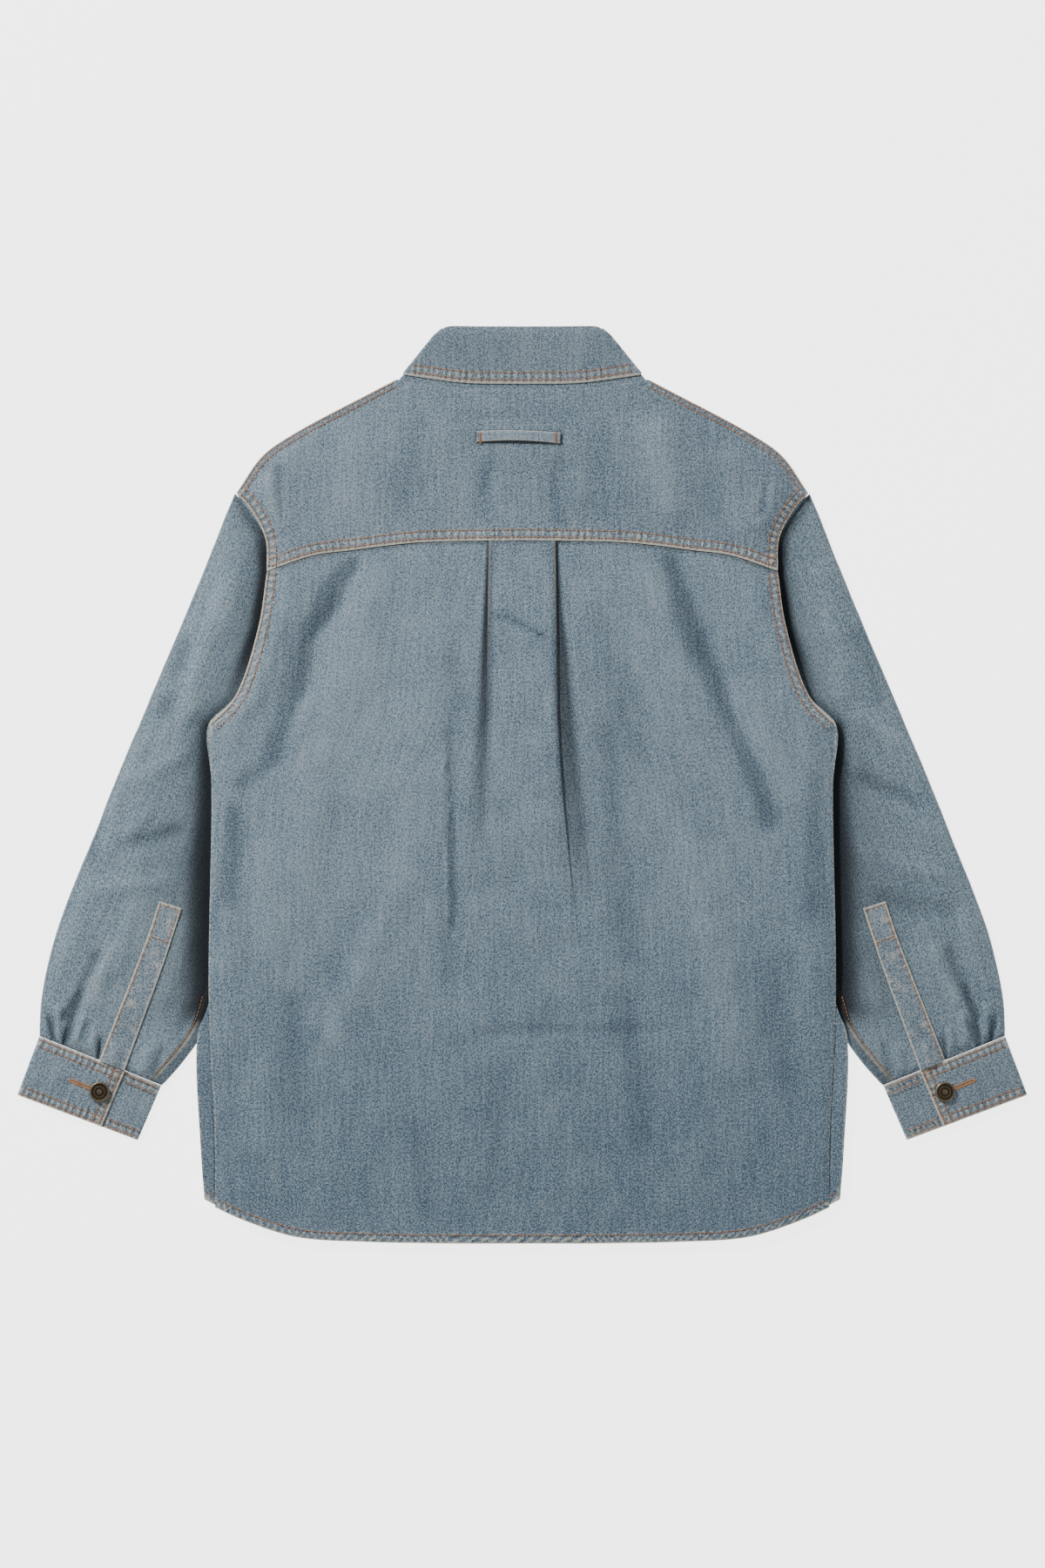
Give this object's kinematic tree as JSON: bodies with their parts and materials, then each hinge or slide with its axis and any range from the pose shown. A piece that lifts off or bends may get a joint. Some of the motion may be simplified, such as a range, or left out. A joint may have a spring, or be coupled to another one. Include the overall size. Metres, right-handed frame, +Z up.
{
  "type": "denim shirt",
  "caption": "Light-washed denim overshirt laid flat face down, with back yoke, box pleat, locker loop, collar and buttoned cuffs.",
  "frame": {"origin": "middle of the shirt's outline, on the surface it lies on", "axes": "+X across the shirt to its right sleeve, +Y up the shirt to the collar, +Z up from the surface through the back"},
  "size_m": [0.9044, 0.8214, 0.0095],
  "materials": {
    "denim_body": "washed blue twill, matte",
    "denim_trim": "washed blue twill, paler at its edges, matte",
    "denim_sleeve": "washed blue twill, matte",
    "brass": "dark antique brass, satin"
  },
  "bodies": {
    "root": {"back_yoke": "denim_trim", "back_panel": "denim_body", "front_placket": "denim_trim", "collar_stand": "denim_body", "collar_fall": "denim_trim", "locker_loop": "denim_trim", "front_left": "denim_body", "sleeve_left": "denim_sleeve", "sleeve_placket_left": "denim_trim", "cuff_left": "denim_trim", "cuff_button_left": "brass", "front_right": "denim_body", "sleeve_right": "denim_sleeve", "sleeve_placket_right": "denim_trim", "cuff_right": "denim_trim", "cuff_button_right": "brass", "front_button_1": "brass", "front_button_2": "brass", "front_button_3": "brass", "front_button_4": "brass", "front_button_5": "brass", "front_button_6": "brass", "front_button_7": "brass"}
  },
  "joints": []
}
